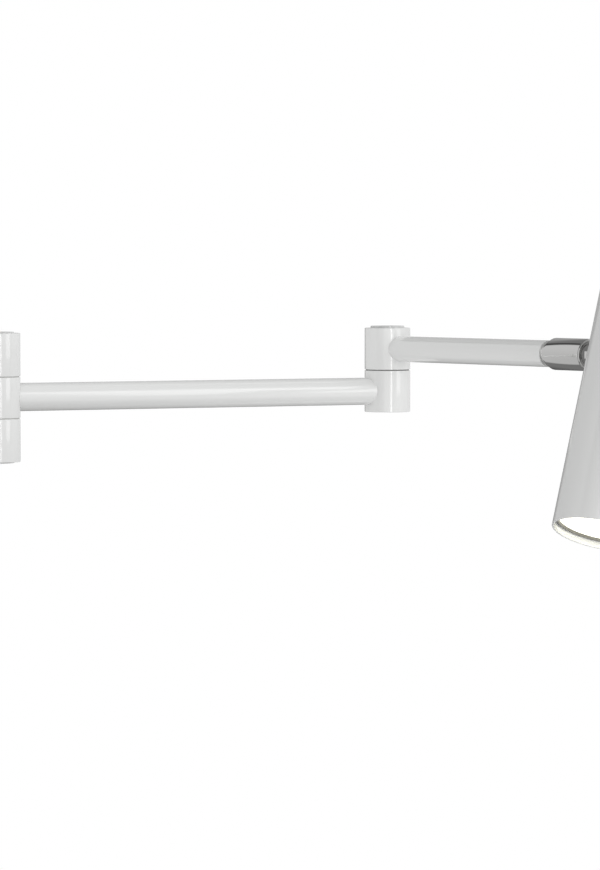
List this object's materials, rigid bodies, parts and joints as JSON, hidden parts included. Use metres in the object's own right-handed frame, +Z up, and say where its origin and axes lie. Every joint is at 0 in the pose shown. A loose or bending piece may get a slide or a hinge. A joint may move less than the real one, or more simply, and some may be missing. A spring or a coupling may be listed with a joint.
{
  "type": "wall lamp",
  "caption": "Swing-arm wall lamp: round canopy, two white tubular arms on upright barrel pivots, chromed ball joint, straight cylinder spot shade.",
  "frame": {"origin": "centre of the wall bracket's two screw slots, on its back face, level with the inner arm's axis", "axes": "+Y into the wall, -Y into the room, +Z up, +X to the right for someone who faces the wall"},
  "size_m": [0.2345, 0.4486, 0.1775],
  "materials": {
    "arm_paint": "gloss white paint",
    "shade_paint": "gloss white paint, inside too",
    "joint_chrome": "polished",
    "zinc_steel": "zinc plated, dull",
    "nylon": "moulded nylon",
    "natural_nylon": "moulded nylon, natural",
    "connector_plastic": "moulded, satin",
    "contact_brass": "bright",
    "ceramic": "unglazed, fine",
    "reflector": "satin",
    "frosted_glass": "frosted white, lit from behind"
  },
  "bodies": {
    "wall_mount": {"canopy": "arm_paint", "wall_bracket": "zinc_steel", "canopy_screws": "zinc_steel", "terminal_block": "connector_plastic", "terminal_screws": "contact_brass", "block_screw": "zinc_steel", "earth_screw": "contact_brass", "upper_wall_knuckle": "arm_paint", "lower_wall_knuckle": "arm_paint", "knuckle_nuts": "zinc_steel", "wall_pivot_tube": "zinc_steel", "wall_pivot_nuts": "zinc_steel", "upper_pivot_cap": "arm_paint", "lower_pivot_cap": "arm_paint", "wall_washers": "natural_nylon"},
    "inner_arm": {"root_barrel": "arm_paint", "root_bush": "nylon", "inner_arm_tube": "arm_paint", "elbow_lower_barrel": "arm_paint", "elbow_pivot_tube": "zinc_steel", "elbow_washer": "nylon", "elbow_spring_washer": "zinc_steel", "elbow_nut": "zinc_steel"},
    "outer_arm": {"elbow_upper_barrel": "arm_paint", "elbow_bush": "nylon", "elbow_cap": "arm_paint", "outer_arm_tube": "arm_paint", "arm_end_plug": "zinc_steel", "swivel_nipple": "zinc_steel"},
    "socket": {"socket_body": "joint_chrome", "nipple_washer": "nylon", "ball_seat": "nylon", "disc_springs": "zinc_steel", "retaining_ring": "joint_chrome"},
    "ball": {"ball_stem": "joint_chrome", "stem_washer": "zinc_steel", "stem_nut": "zinc_steel"},
    "head": {"outer_saddle": "shade_paint", "inner_saddle": "shade_paint", "shade_tube": "shade_paint", "shade_lid": "shade_paint", "holder_bracket": "zinc_steel", "lampholder": "ceramic", "holder_contacts": "contact_brass", "holder_screws": "zinc_steel", "lamp_base": "ceramic", "lamp_pins": "contact_brass", "lamp_reflector": "reflector", "lamp_lens": "frosted_glass"}
  },
  "joints": [
    {"name": "wall_swivel", "type": "hinge", "parent": "wall_mount", "child": "inner_arm", "pos_m": [0, -0.05, 0], "axis": [0, 0, 1], "range_deg": [-131, 49]},
    {"name": "elbow_swivel", "type": "hinge", "parent": "inner_arm", "child": "outer_arm", "pos_m": [0.16401, -0.23868, 0.0251], "axis": [0, 0, 1], "range_deg": [-48, 212]},
    {"name": "socket_turn", "type": "hinge", "parent": "outer_arm", "child": "socket", "pos_m": [0.04068, -0.38056, 0.0251], "axis": [-0.6561, -0.7547, 0], "range_deg": [-148.3, 191.7]},
    {"name": "ball_tilt", "type": "hinge", "parent": "socket", "child": "ball", "pos_m": [0.04068, -0.38056, 0.0251], "axis": [-0.7012, 0.6096, 0.3697], "range_deg": [-39.1, 20.9]},
    {"name": "head_spin", "type": "hinge", "parent": "ball", "child": "head", "pos_m": [0.04068, -0.38056, 0.0251], "axis": [-0.6037, -0.7836, 0.1469], "range_deg": [-90, 90]}
  ]
}
